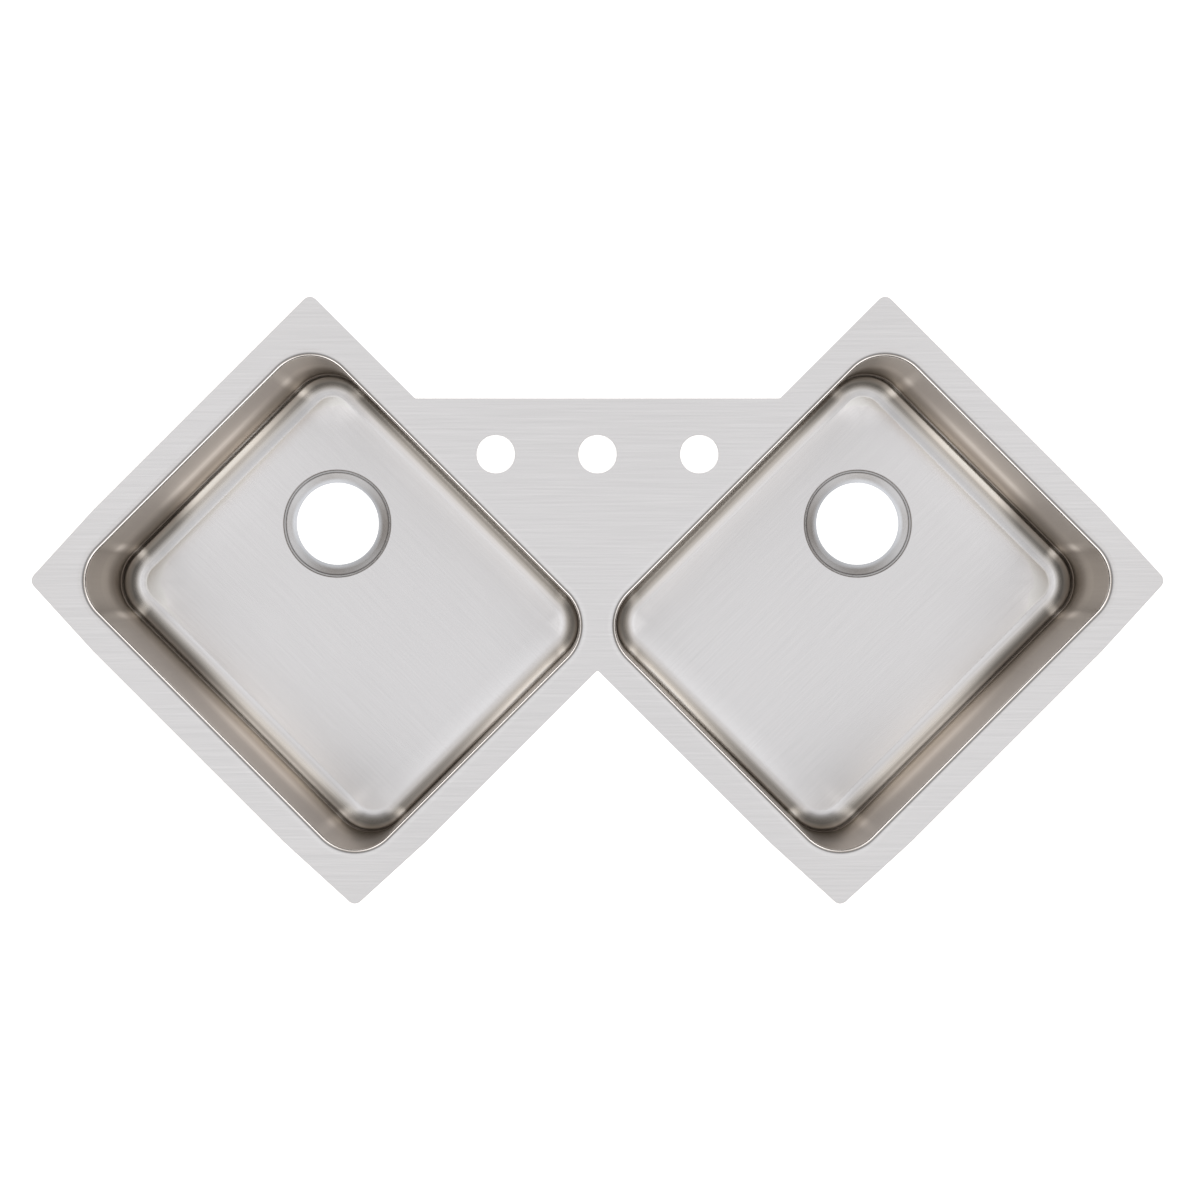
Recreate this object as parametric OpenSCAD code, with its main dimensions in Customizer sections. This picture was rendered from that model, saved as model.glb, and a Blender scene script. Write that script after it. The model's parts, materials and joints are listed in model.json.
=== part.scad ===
// Corner kitchen sink with two bowls turned 45 degrees and a ledge for a three-hole tap.
// Millimetres, +Z up, +Y towards the back wall. The origin is on the deck's top face,
// midway between the centres of the two bowls.

/* [Bowls] */
// Clear length of a bowl between its walls
bowl_l = 406.4; // [370:0.1:450]
// Clear width of a bowl between its walls
bowl_w = 342.9; // [320:0.1:380]
// Depth of the bowl floor below the deck's top face
bowl_d = 200; // [140:0.5:250]
// Inside radius of the bowl's upright corners
corner_r = 44.45; // [38:0.05:65]
// Inside radius between the walls and the floor
floor_r = 22; // [12:0.5:28]
// How far each wall leans in on its way down, in degrees
wall_draft = 0.5; // [0.2:0.1:1]
// Clear metal between the two bowls at the waist
bowl_gap = 36.8; // [30:0.1:80]

/* [Sheet] */
// Thickness of the steel sheet
sheet_t = 1.2; // [0.8:0.1:2]
// Radius of the rolled lip, on its visible side
lip_r = 4; // [2.5:0.1:6]
// Flat edge left on the drawn bowl outside its lip, up to the weld
trim_w = 4; // [3:0.1:6]

/* [Deck] */
// Flange width from a bowl's wall to the deck's edge
flange_w = 31.75; // [24:0.05:45]
// Distance of the straight back edge behind the bowl centres
back_y = 204.4; // [195:0.1:230]
// Length of the eased stretch on each side of an outer or front tip
ease_l = 100; // [60:1:120]
// How far the eased edges bring such a tip in, along each side
ease_d = 4.4; // [1:0.1:8]
// Radius of the deck's tips
tip_r = 9; // [4:0.5:14]
// Radius of the inside corners at the ends of the back edge
back_r = 4; // [1:0.5:10]
// Radius of the inside corner at the front notch
notch_r = 1.7; // [0.5:0.1:8]

/* [Tap ledge] */
// Diameter of a tap hole
tap_hole_d = 38.1; // [28:0.1:42]
// Distance between neighbouring tap holes
tap_pitch = 101.6; // [60:0.1:110]
// Distance of the tap holes in front of the back edge
tap_inset = 55.7; // [40:0.1:70]

/* [Drain] */
// Diameter of the drain hole
drain_d = 88.9; // [60:0.1:95]
// Radius of the recess round the drain, at the floor
recess_r = 58; // [54:0.5:64]
// Height of the step from the floor down to the seat
step_h = 3; // [2:0.1:5]
// Width of the step in plan
step_w = 2.2; // [1:0.1:4]
// Slope of the seat between step and hole, in degrees
seat_slope = 18; // [4:0.5:25]
// Distance of the drain from the bowl centre, along the bowl
drain_u = 73; // [40:0.5:90]
// Distance of the drain from the bowl centre, across the bowl
drain_v = 48.5; // [30:0.5:55]

/* [Weld seams] */
// Width of the weld bead under the deck
bead_w = 4; // [3:0.1:5]
// Height of the weld bead
bead_h = 0.9; // [0.5:0.1:1.4]

/* [Undercoat] */
// Thickness of the sprayed coat
coat_t = 0.8; // [0.5:0.1:1.5]
// Height left bare between the deck's top face and the coat
coat_top = 14; // [10:0.5:30]
// Width of the ring left bare round the drain recess
coat_ring = 8; // [4:0.5:12]

/* [Sound pads] */
// Thickness of a pad
pad_t = 3; // [2:0.1:4]
// Radius of a pad's corners
pad_r = 10; // [4:0.5:20]
// Space from a floor pad to the bottom radius
floor_pad_edge = 22; // [10:0.5:40]
// Space from a floor pad to the drain recess
drain_pad_gap = 20; // [13:0.5:30]
// Space between the two floor pads
pad_gap = 12; // [4:0.5:20]
// Space from a wall pad to the upright corners
wall_pad_edge = 38; // [10:0.5:60]
// Space from the lip down to a wall pad
wall_pad_top = 34; // [15:0.5:40]
// Space from the bottom radius up to a wall pad
wall_pad_foot = 32; // [5:0.5:40]

/* [Hidden] */

$fn = 96;
arc_steps = 12;  // straight steps in each rounded corner of the deck and the pads

steel = [0.80, 0.79, 0.78];
weld_steel = [0.62, 0.60, 0.58];
coat_grey = [0.42, 0.43, 0.44];
pad_black = [0.12, 0.12, 0.13];

turn = 45;  // how far the bowls are turned from the back wall, in degrees
cut = 2 * (sheet_t + coat_t);  // how far cutting shapes run past what they cut

// The flange's own rectangle round one bowl, as half sizes along (u) and across (v) the bowl
flange_u = bowl_l / 2 + flange_w;
flange_v = bowl_w / 2 + flange_w;

// Half the distance between the bowl centres, which leaves bowl_gap between round corners
bowl_x = bowl_gap / 2 - corner_r * (sqrt(2) - 1) + (bowl_l + bowl_w) / 2 * cos(turn);

// Weld line round a bowl, measured outwards from its wall
weld_off = lip_r + trim_w;

// Wall profile. x runs outwards from the wall's top edge and y upwards from the deck's top face.
roll_c = [lip_r, -lip_r];
wall_down = [-sin(wall_draft), -cos(wall_draft)];
wall_in = [-cos(wall_draft), sin(wall_draft)];
wall_top = roll_c + lip_r * wall_in;
wall_run = (wall_top.y + bowl_d - floor_r + floor_r * sin(wall_draft)) / cos(wall_draft);
wall_end = wall_top + wall_run * wall_down;
floor_c = wall_end + floor_r * wall_in;

// Straight lengths of the walls between the upright corners
straight_u = bowl_l - 2 * corner_r;
straight_v = bowl_w - 2 * corner_r;

// The flat part of the floor, as half sizes and corner radius
flat_u = bowl_l / 2 + floor_c.x;
flat_v = bowl_w / 2 + floor_c.x;
flat_r = corner_r + floor_c.x;
floor_lap = flat_r / 2;  // how far the bottom radius runs on as flat floor

// Drain recess, from the floor down
seat_r = recess_r - step_w;
seat_drop = (seat_r - drain_d / 2) * tan(seat_slope);
seat_t = sheet_t / cos(seat_slope);
step_slope = atan(step_h / step_w);

// Moves a bend between slopes a and b by one unit of sheet, so that both keep their thickness
function mitre(a, b) = ([sin(a), -cos(a)] + [sin(b), -cos(b)]) / (1 + cos(a - b));

// Part of a ring between the angles a0 and a1, which are less than half a turn apart
module ring_sector(r_in, r_out, a0, a1) {
    reach = 2 * r_out;
    intersection() {
        difference() {
            circle(r_out);
            circle(r_in);
        }
        polygon([
            [0, 0],
            reach * [cos(a0), sin(a0)],
            reach * [cos((a0 + a1) / 2), sin((a0 + a1) / 2)],
            reach * [cos(a1), sin(a1)],
        ]);
    }
}

// Rectangle with round corners, given as half sizes. Each corner loses the nib outside its
// circle, which is drawn a little past the corner.
module round_rect(hu, hv, r) {
    difference() {
        square([2 * hu, 2 * hv], center = true);
        for (su = [-1, 1], sv = [-1, 1]) scale([su, sv]) translate([hu - r, hv - r])
            difference() {
                polygon([[r, 0], [2 * r, 2 * r], [0, r], [0, 0]]);
                circle(r);
            }
    }
}

// A point of the left bowl's axes in the plan
function in_plan(u, v) =
    [u * cos(turn) + v * sin(turn) - bowl_x, v * cos(turn) - u * sin(turn)];

function unit(d) = d / norm(d);

// Arc of radius r that rounds the corner p between its neighbours a and b
function rounding(a, p, b, r) =
    let (
        to_a = unit(a - p),
        to_b = unit(b - p),
        half = acos(to_a * to_b) / 2,
        centre = p + unit(to_a + to_b) * r / sin(half),
        from = p + to_a * r / tan(half) - centre,
        start = atan2(from.y, from.x),
        sweep = (180 - 2 * half) * sign(to_a.x * to_b.y - to_a.y * to_b.x)
    )
    [for (k = [0:arc_steps]) centre + r * [cos(start - sweep * k / arc_steps),
        sin(start - sweep * k / arc_steps)]];

// The corners of an outline with each rounded by its radius, which is sharp where that is 0
function outline(corners, radii) =
    let (n = len(corners))
    [for (i = [0:n - 1]) each radii[i] == 0 ? [corners[i]]
        : rounding(corners[(i + n - 1) % n], corners[i], corners[(i + 1) % n], radii[i])];

// Outline of a pad, given as half sizes
module pad_outline(hu, hv) {
    polygon(outline([[hu, hv], [-hu, hv], [-hu, -hv], [hu, -hv]], [pad_r, pad_r, pad_r, pad_r]));
}

// Puts what is drawn in a bowl's own axes at the left bowl: u points to the front notch
// and v to the ledge
module at_left() {
    translate([-bowl_x, 0, 0]) rotate(-turn) children();
}

module at_right() {
    mirror([1, 0, 0]) at_left() children();
}

// Sweeps a wall profile round a bowl's rounded rectangle
module sweep_wall() {
    for (k = [0, 1]) rotate(k * 180) {
        translate([straight_u / 2, straight_v / 2, 0])
            rotate_extrude(angle = 90) translate([corner_r, 0]) children();
        rotate(90) translate([straight_v / 2, straight_u / 2, 0])
            rotate_extrude(angle = 90) translate([corner_r, 0]) children();
        translate([bowl_l / 2, straight_v / 2, 0]) rotate([90, 0, 0])
            linear_extrude(straight_v) children();
        rotate(90) translate([bowl_w / 2, straight_u / 2, 0]) rotate([90, 0, 0])
            linear_extrude(straight_u) children();
    }
}

// Wall, bottom radius and first flat stretch of floor, from a to b outside the visible surface
module wall_skin(a, b) {
    reach = 2 * (floor_r + b);
    translate([floor_c.x, floor_r - bowl_d]) {
        translate([-floor_lap, -floor_r - b]) square([floor_lap, b - a]);
        difference() {
            rotate(-wall_draft) {
                ring_sector(floor_r + a, floor_r + b, -90, 0);
                translate([floor_r + a, 0]) square([b - a, wall_run]);
            }
            translate([-reach, -reach]) square([reach, reach]);
        }
    }
}

// Rolled lip and the flat trimmed edge outside it
module lip_skin() {
    translate([floor_c.x, floor_r - bowl_d]) rotate(-wall_draft)
        translate([floor_r + lip_r, wall_run]) {
            difference() {
                ring_sector(lip_r - sheet_t, lip_r, 90, 180);
                rotate(wall_draft) square(2 * lip_r);
            }
            rotate(wall_draft) translate([0, lip_r - sheet_t]) square([trim_w, sheet_t]);
        }
}

// Flat floor inside the wall's skin, from a to b under the visible surface
module floor_skin(a, b) {
    edge = floor_lap / 2;
    translate([0, 0, -bowl_d - b]) linear_extrude(b - a)
        round_rect(flat_u - edge, flat_v - edge, flat_r - edge);
}

module at_drain() {
    translate([-drain_u, drain_v, -bowl_d]) children();
}

// Clears a round area of the floor at the drain
module drain_cut(r) {
    at_drain() translate([0, 0, -cut]) cylinder(h = 2 * cut, r = r);
}

// Dished seat that a strainer's rim lies in
module drain_seat() {
    top_bend = [recess_r, 0];
    low_bend = [seat_r, -step_h];
    at_drain() rotate_extrude() polygon([
        [recess_r + cut, 0],
        top_bend,
        low_bend,
        [drain_d / 2, -step_h - seat_drop],
        [drain_d / 2, -step_h - seat_drop - seat_t],
        low_bend + sheet_t * mitre(step_slope, seat_slope),
        top_bend + sheet_t * mitre(0, step_slope),
        [recess_r + cut, -sheet_t],
    ]);
}

module bowl() {
    color(steel) {
        sweep_wall() {
            lip_skin();
            wall_skin(0, sheet_t);
        }
        difference() {
            floor_skin(0, sheet_t);
            drain_cut(recess_r + cut);
        }
        drain_seat();
    }
}

// Low bead along the weld line, under the sheet
module weld_bead() {
    crown_r = (bead_w * bead_w / 4 + bead_h * bead_h) / (2 * bead_h);
    color(weld_steel) sweep_wall() translate([weld_off, -sheet_t]) intersection() {
        translate([0, crown_r - bead_h]) circle(crown_r);
        translate([-bead_w, -2 * bead_h]) square([2 * bead_w, 2 * bead_h]);
    }
}

// Pad on the wall that faces direction a and lies at distance reach from the bowl centre.
// over is how far a cutter of the same outline runs past the steel.
module wall_pad(a, reach, straight, over = 0) {
    h = wall_run - wall_pad_top - wall_pad_foot;
    middle = wall_top + (wall_pad_top + h / 2) * wall_down - sheet_t * wall_in;
    color(pad_black)
        rotate(a) translate([reach + middle.x, 0, middle.y]) rotate([0, 90 + wall_draft, 0])
        translate([0, 0, -over]) linear_extrude(pad_t + over)
        pad_outline(h / 2, straight / 2 - wall_pad_edge);
}

module back_wall_pad(over = 0) { wall_pad(90, bowl_w / 2, straight_u, over); }
module front_wall_pad(over = 0) { wall_pad(-90, bowl_w / 2, straight_u, over); }
module outer_wall_pad(over = 0) { wall_pad(180, bowl_l / 2, straight_v, over); }
module inner_wall_pad(over = 0) { wall_pad(0, bowl_l / 2, straight_v, over); }

// Pad under the floor, from its low corner to its high corner
module floor_pad(low, high, over) {
    size = high - low;
    color(pad_black)
        translate([(low.x + high.x) / 2, (low.y + high.y) / 2, -bowl_d - sheet_t - pad_t])
        linear_extrude(pad_t + over) pad_outline(size.x / 2, size.y / 2);
}

floor_pad_u = flat_u - floor_pad_edge;
floor_pad_v = flat_v - floor_pad_edge;
wide_pad_u = recess_r + drain_pad_gap - drain_u;

module wide_floor_pad(over = 0) {
    floor_pad([wide_pad_u, -floor_pad_v], [floor_pad_u, floor_pad_v], over);
}

module narrow_floor_pad(over = 0) {
    floor_pad([-floor_pad_u, -floor_pad_v],
        [wide_pad_u - pad_gap, drain_v - recess_r - drain_pad_gap], over);
}

// Sprayed coat, left open where the pads are stuck to the steel and round the drain
module undercoat() {
    color(coat_grey) difference() {
        union() {
            sweep_wall() difference() {
                wall_skin(sheet_t, sheet_t + coat_t);
                translate([-floor_r, -coat_top]) square([2 * floor_r, coat_top]);
            }
            floor_skin(sheet_t, sheet_t + coat_t);
        }
        drain_cut(recess_r + coat_ring);
        back_wall_pad(cut);
        front_wall_pad(cut);
        outer_wall_pad(cut);
        inner_wall_pad(cut);
        wide_floor_pad(cut);
        narrow_floor_pad(cut);
    }
}

function mirrored(points) = [for (i = [len(points) - 1:-1:0]) [-points[i].x, points[i].y]];
function backwards(list) = [for (i = [len(list) - 1:-1:0]) list[i]];

// Left half of the deck's corners, from the back edge round to the front notch
tip_u = flange_u - ease_d;
tip_v = flange_v - ease_d;
left_corners = [
    [-bowl_x - back_y + flange_v / cos(turn), back_y],
    in_plan(-flange_u, flange_v),
    in_plan(-flange_u, ease_l - flange_v),
    in_plan(-tip_u, -tip_v),
    in_plan(ease_l - flange_u, -flange_v),
    in_plan(flange_u - ease_l, -flange_v),
    in_plan(tip_u, -tip_v),
    in_plan(flange_u, ease_l - flange_v),
];
left_radii = [back_r, tip_r, 0, tip_r, 0, 0, tip_r, 0];
notch = [0, bowl_x - flange_u / cos(turn)];

module deck_plate() {
    color(steel) translate([0, 0, -sheet_t]) linear_extrude(sheet_t) difference() {
        polygon(outline(
            [each left_corners, notch, each mirrored(left_corners)],
            [each left_radii, notch_r, each backwards(left_radii)]
        ));
        for (m = [0, 1]) mirror([m, 0]) translate([-bowl_x, 0]) rotate(-turn)
            round_rect(bowl_l / 2 + weld_off, bowl_w / 2 + weld_off, corner_r + weld_off);
        for (k = [-1, 0, 1])
            translate([k * tap_pitch, back_y - tap_inset]) circle(d = tap_hole_d);
    }
}

module left_bowl() { at_left() bowl(); }
module right_bowl() { at_right() bowl(); }
module left_weld_seam() { at_left() weld_bead(); }
module right_weld_seam() { at_right() weld_bead(); }
module left_undercoat() { at_left() undercoat(); }
module right_undercoat() { at_right() undercoat(); }
module left_wide_floor_pad() { at_left() wide_floor_pad(); }
module right_wide_floor_pad() { at_right() wide_floor_pad(); }
module left_narrow_floor_pad() { at_left() narrow_floor_pad(); }
module right_narrow_floor_pad() { at_right() narrow_floor_pad(); }
module left_back_wall_pad() { at_left() back_wall_pad(); }
module right_back_wall_pad() { at_right() back_wall_pad(); }
module left_front_wall_pad() { at_left() front_wall_pad(); }
module right_front_wall_pad() { at_right() front_wall_pad(); }
module left_outer_wall_pad() { at_left() outer_wall_pad(); }
module right_outer_wall_pad() { at_right() outer_wall_pad(); }
module left_inner_wall_pad() { at_left() inner_wall_pad(); }
module right_inner_wall_pad() { at_right() inner_wall_pad(); }

deck_plate();
left_bowl();
right_bowl();
left_weld_seam();
right_weld_seam();
left_undercoat();
right_undercoat();
left_wide_floor_pad();
right_wide_floor_pad();
left_narrow_floor_pad();
right_narrow_floor_pad();
left_back_wall_pad();
right_back_wall_pad();
left_front_wall_pad();
right_front_wall_pad();
left_outer_wall_pad();
right_outer_wall_pad();
left_inner_wall_pad();
right_inner_wall_pad();
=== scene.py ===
import json
import math

import bmesh
import bpy
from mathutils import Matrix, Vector


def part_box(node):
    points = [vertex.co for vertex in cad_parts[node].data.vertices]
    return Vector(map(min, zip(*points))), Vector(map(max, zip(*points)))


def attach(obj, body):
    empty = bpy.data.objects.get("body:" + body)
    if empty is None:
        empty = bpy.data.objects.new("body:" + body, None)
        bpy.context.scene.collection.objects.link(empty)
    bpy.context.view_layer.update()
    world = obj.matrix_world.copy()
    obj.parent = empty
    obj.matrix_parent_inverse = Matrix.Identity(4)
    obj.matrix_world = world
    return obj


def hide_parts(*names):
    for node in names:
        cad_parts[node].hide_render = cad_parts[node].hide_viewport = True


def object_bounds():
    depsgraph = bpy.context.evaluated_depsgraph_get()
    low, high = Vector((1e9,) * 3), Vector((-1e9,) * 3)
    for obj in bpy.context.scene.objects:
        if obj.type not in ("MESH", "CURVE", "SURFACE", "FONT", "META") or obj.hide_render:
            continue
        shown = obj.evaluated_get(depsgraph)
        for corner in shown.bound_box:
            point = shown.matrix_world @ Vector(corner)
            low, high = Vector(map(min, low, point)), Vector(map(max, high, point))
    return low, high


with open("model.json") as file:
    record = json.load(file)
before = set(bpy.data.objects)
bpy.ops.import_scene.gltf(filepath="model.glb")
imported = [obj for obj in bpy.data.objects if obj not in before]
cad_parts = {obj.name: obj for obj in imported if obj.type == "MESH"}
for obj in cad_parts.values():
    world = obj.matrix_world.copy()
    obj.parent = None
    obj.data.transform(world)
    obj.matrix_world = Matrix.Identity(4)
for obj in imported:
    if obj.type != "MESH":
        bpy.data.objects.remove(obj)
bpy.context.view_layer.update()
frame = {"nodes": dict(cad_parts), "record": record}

mm = 0.001
turn = math.radians(45)  # how far the bowls are turned from the back wall
mounts = {mount["name"]: mount for mount in frame["record"]["mounts"]}
sheet = -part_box("deck_plate")[0].z  # thickness of the steel
bowlX = -sum(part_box("left_bowl")[i].x for i in (0, 1)) / 2  # bowl centres lie at -bowlX and bowlX


# Small helpers for shader nodes

mixSockets = {"FLOAT": (2, 3, 0), "VECTOR": (4, 5, 1), "RGBA": (6, 7, 2)}  # A, B and result for each kind
numberResults = ("LENGTH", "DISTANCE", "DOT_PRODUCT")  # vector operations that give one number
noiseSpan = (0.3, 0.7)  # holds nearly all of a noise's values


def addNode(tree, kind, inputs=None, **settings):
    made = tree.nodes.new("ShaderNode" + kind)
    for key, value in settings.items():
        setattr(made, key, value)
    for key, value in (inputs or {}).items():
        if isinstance(value, bpy.types.NodeSocket):
            tree.links.new(value, made.inputs[key])
        else:
            made.inputs[key].default_value = value
    return made


def startMaterial(name):
    material = bpy.data.materials.new(name)
    material.use_nodes = True
    tree = material.node_tree
    return material, tree, tree.nodes["Principled BSDF"]


def mathNode(tree, operation, a, b):
    return addNode(tree, "Math", {0: a, 1: b}, operation=operation).outputs[0]


def multiply(tree, *values):
    product = values[0]
    for value in values[1:]:
        product = mathNode(tree, "MULTIPLY", product, value)
    return product


def vectorNode(tree, operation, *values):
    made = addNode(tree, "VectorMath", dict(enumerate(values)), operation=operation)
    return made.outputs["Value" if operation in numberResults else "Vector"]


def scaled(tree, vector, factor):
    return addNode(tree, "VectorMath", {0: vector, "Scale": factor}, operation="SCALE").outputs[0]


def splitVector(tree, vector):
    return addNode(tree, "SeparateXYZ", {"Vector": vector}).outputs


def joinVector(tree, x, y, z):
    return addNode(tree, "CombineXYZ", {"X": x, "Y": y, "Z": z}).outputs[0]


def rescale(tree, value, source, target, smooth=False, clamp=True):
    limits = {"From Min": source[0], "From Max": source[1], "To Min": target[0], "To Max": target[1]}
    kind = "SMOOTHSTEP" if smooth else "LINEAR"
    made = addNode(tree, "MapRange", {"Value": value, **limits}, interpolation_type=kind, clamp=clamp)
    return made.outputs[0]


def fade(tree, value, span, full=1):
    # From 0 at the first place of span to full at the second
    return rescale(tree, value, span, (0, full), smooth=True)


def blend(tree, share, low, high, kind="RGBA"):
    first, second, result = mixSockets[kind]
    return addNode(tree, "Mix", {0: share, first: low, second: high}, data_type=kind).outputs[result]


def blendTones(tree, share, low, high):
    return blend(tree, share, (*low, 1), (*high, 1))


def tint(tree, tone, shade):
    return vectorNode(tree, "MULTIPLY", tone, shade)


def toneBands(tree, value, stops):
    # Each stop is a place from 0 to 1 along value, with a grey tone or a colour
    bands = addNode(tree, "ValToRGB", {"Fac": value})
    elements = bands.color_ramp.elements
    full = [(at, (*tone, 1) if isinstance(tone, tuple) else (tone, tone, tone, 1)) for at, tone in stops]
    for element, (at, colour) in zip(list(elements), (full[0], full[-1])):
        element.position, element.color = at, colour
    for at, colour in full[1:-1]:
        elements.new(at).color = colour
    return bands.outputs["Color"]


def plainNoise(tree, place, scale, detail):
    noise = addNode(tree, "TexNoise", {"Vector": place, "Scale": scale, "Detail": detail})
    return noise.outputs["Fac"]


def addBump(tree, shader, height, strength, distance):
    bump = addNode(tree, "Bump", {"Height": height, "Strength": strength, "Distance": distance})
    tree.links.new(bump.outputs[0], shader.inputs["Normal"])


# Brushed steel. Grain runs along X before it is turned.

brushMarks = {
    "grainDetail": 4,
    "streakDetail": 5,
    "noiseRoughness": 0.55,
    "streakShare": 0.55,
    "contrast": (0.36, 0.64),  # noise values of the darkest and the palest mark
}

deckLook = {
    "paleTone": (0.749, 0.741, 0.751),
    "darkTone": (0.673, 0.665, 0.674),
    "roughness": (0.18, 0.25),
    "grainScale": (30, 1500, 1500),
    "streakScale": (9, 430, 430),
    "grainDepth": 0.006,
    "grainStrength": 0.6,
    "spreadAcrossGrain": 0.8,
}


def stretchedNoise(tree, place, scale, detail, turned=0):
    flat = addNode(tree, "Mapping", {"Vector": place, "Rotation": (0, 0, turned)})
    long = addNode(tree, "Mapping", {"Vector": flat.outputs[0], "Scale": scale})
    noise = addNode(tree, "TexNoise", {
        "Vector": long.outputs[0], "Scale": 1, "Detail": detail, "Roughness": brushMarks["noiseRoughness"]})
    return noise.outputs["Fac"]


def brushedParts(tree, place, look, turned=0):
    grain = stretchedNoise(tree, place, look["grainScale"], brushMarks["grainDetail"], turned)
    streaks = stretchedNoise(tree, place, look["streakScale"], brushMarks["streakDetail"], turned)
    both = blend(tree, brushMarks["streakShare"], grain, streaks, "FLOAT")
    return grain, rescale(tree, both, brushMarks["contrast"], (0, 1))


def deckTone(tree, share):
    return blendTones(tree, share, deckLook["darkTone"], deckLook["paleTone"])


def deckSteel():
    material, tree, shader = startMaterial("deckSteel")
    place = addNode(tree, "TexCoord").outputs["Object"]
    grain, share = brushedParts(tree, place, deckLook)
    tree.links.new(deckTone(tree, share), shader.inputs["Base Color"])
    tree.links.new(rescale(tree, grain, noiseSpan, deckLook["roughness"]), shader.inputs["Roughness"])
    addBump(tree, shader, grain, deckLook["grainStrength"], deckLook["grainDepth"] * mm)
    shader.inputs["Metallic"].default_value = 1.0
    shader.inputs["Anisotropic"].default_value = deckLook["spreadAcrossGrain"]
    tree.links.new(joinVector(tree, 0, 1, 0), shader.inputs["Tangent"])
    return material


# Bowl shape: the visible skin, its underside and the cut edges, as rings of points

bowlForm = {
    "length": 406.4,
    "width": 342.9,
    "depth": 200.0,
    "cornerRadius": 44.45,
    "floorRadius": 22.0,
    "footShine": 9.0,    # radius that the bend shines as if it had at the foot of the wall
    "floorShine": 30.0,  # and next to the floor
    "footTilt": 35.0,    # degrees at which one gives way to the other
    "shineRise": 12.0,   # how far up the wall the bend's shine starts
    "riseShare": 0.1,    # and how much of it lies on the wall
    "draft": 0.5,        # degrees that each wall leans in
    "lipRadius": 4.0,
    "trimWidth": 4.0,    # flat edge outside the lip, up to the weld
    "recessRadius": 58.0,
    "recessEdge": 8.0,   # ring of floor round the recess
    "stepHeight": 3.0,
    "stepWidth": 2.2,
    "seatSlope": 18.0,
    "bendRadius": 1.8,   # bends of the drain recess
    "cornerSteps": 24,
    "lengthSteps": 44,
    "widthSteps": 36,
    "lipSteps": 12,
    "wallSteps": 12,
    "riseSteps": 5,
    "floorBendSteps": 36,
    "recessBendSteps": 5,
    "floorRings": 8,
}


def arcPath(centre, radius, start, end, steps, inward):
    path = []
    for k in range(steps + 1):
        angle = math.radians(start + (end - start) * k / steps)
        out = Vector((math.cos(angle), math.sin(angle)))
        path.append((centre + radius * out, -out if inward else out))
    return path


def bendFacing(share):
    # Way into the steel as the bend shines, from the floor at share 0 to the wall at 1
    form = bowlForm
    turnAt = math.sin(math.radians(form["footTilt"]))
    wide = form["floorShine"] * turnAt
    along = share * (wide + form["footShine"] * (1 - turnAt))
    lean = along / form["floorShine"] if along < wide else turnAt + (along - wide) / form["footShine"]
    return Vector((lean, -math.sqrt(max(0, 1 - lean * lean))))


def wallPath():
    # Points from the weld to the floor, each with the way into the steel, as built and as it shines
    form = bowlForm
    draft = math.radians(form["draft"])
    lip, floor = form["lipRadius"], form["floorRadius"]
    down = Vector((-math.sin(draft), -math.cos(draft)))
    into = Vector((-math.cos(draft), math.sin(draft)))
    rollCentre = Vector((lip, -lip))
    wallTop = rollCentre + lip * into
    run = (wallTop.y + form["depth"] - floor * (1 - math.sin(draft))) / math.cos(draft)
    floorCentre = wallTop + run * down + floor * into
    path = [(Vector((lip + form["trimWidth"], 0)), Vector((0, -1)))]
    path += arcPath(rollCentre, lip, 90, 180 - form["draft"], form["lipSteps"], True)
    straight = run - form["shineRise"]
    steps, riseSteps = form["wallSteps"], form["riseSteps"]
    path += [(wallTop + straight * k / steps * down, -into) for k in range(1, steps)]
    path = [(point, out, out) for point, out in path]
    for k in range(riseSteps):
        point = wallTop + (straight + form["shineRise"] * k / riseSteps) * down
        path.append((point, -into, bendFacing(1 - form["riseShare"] * k / riseSteps)))
    bend = arcPath(floorCentre, floor, -form["draft"], -90, form["floorBendSteps"], False)
    onBend = (1 - form["riseShare"]) / bend[0][1].x
    return path + [(point, out, bendFacing(onBend * out.x)) for point, out in bend]


def bendPath(points, radius, steps):
    path = []
    for before, corner, after in zip(points, points[1:], points[2:]):
        a, b = (before - corner).normalized(), (after - corner).normalized()
        half = a.angle(b) / 2
        centre = corner + (a + b).normalized() * radius / math.sin(half)
        start, end = corner + a * radius / math.tan(half), corner + b * radius / math.tan(half)
        sign = 1 if centre.y > corner.y else -1
        for k in range(steps + 1):
            out = ((start - centre).lerp(end - centre, k / steps)).normalized()
            path.append((centre + radius * out, sign * out))
    return path


def drainPath(holeRadius):
    # Points from the floor to the drain hole, each with the way into the steel
    form = bowlForm
    seatRadius = form["recessRadius"] - form["stepWidth"]
    slope = math.radians(form["seatSlope"])
    floor, step = -form["depth"], -form["depth"] - form["stepHeight"]
    edge = Vector((holeRadius, step - (seatRadius - holeRadius) * math.tan(slope)))
    start = Vector((form["recessRadius"] + form["recessEdge"], floor))
    points = [start, Vector((form["recessRadius"], floor)), Vector((seatRadius, step)), edge]
    path = [(start, Vector((0, -1)))] + bendPath(points, form["bendRadius"], form["recessBendSteps"])
    across = Vector((math.sin(slope), -math.cos(slope)))
    path += [(path[-1][0].lerp(edge, 0.5), across)]
    return path + [(edge, Vector((0, -1 / math.cos(slope))))]  # the hole is cut straight down


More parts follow.
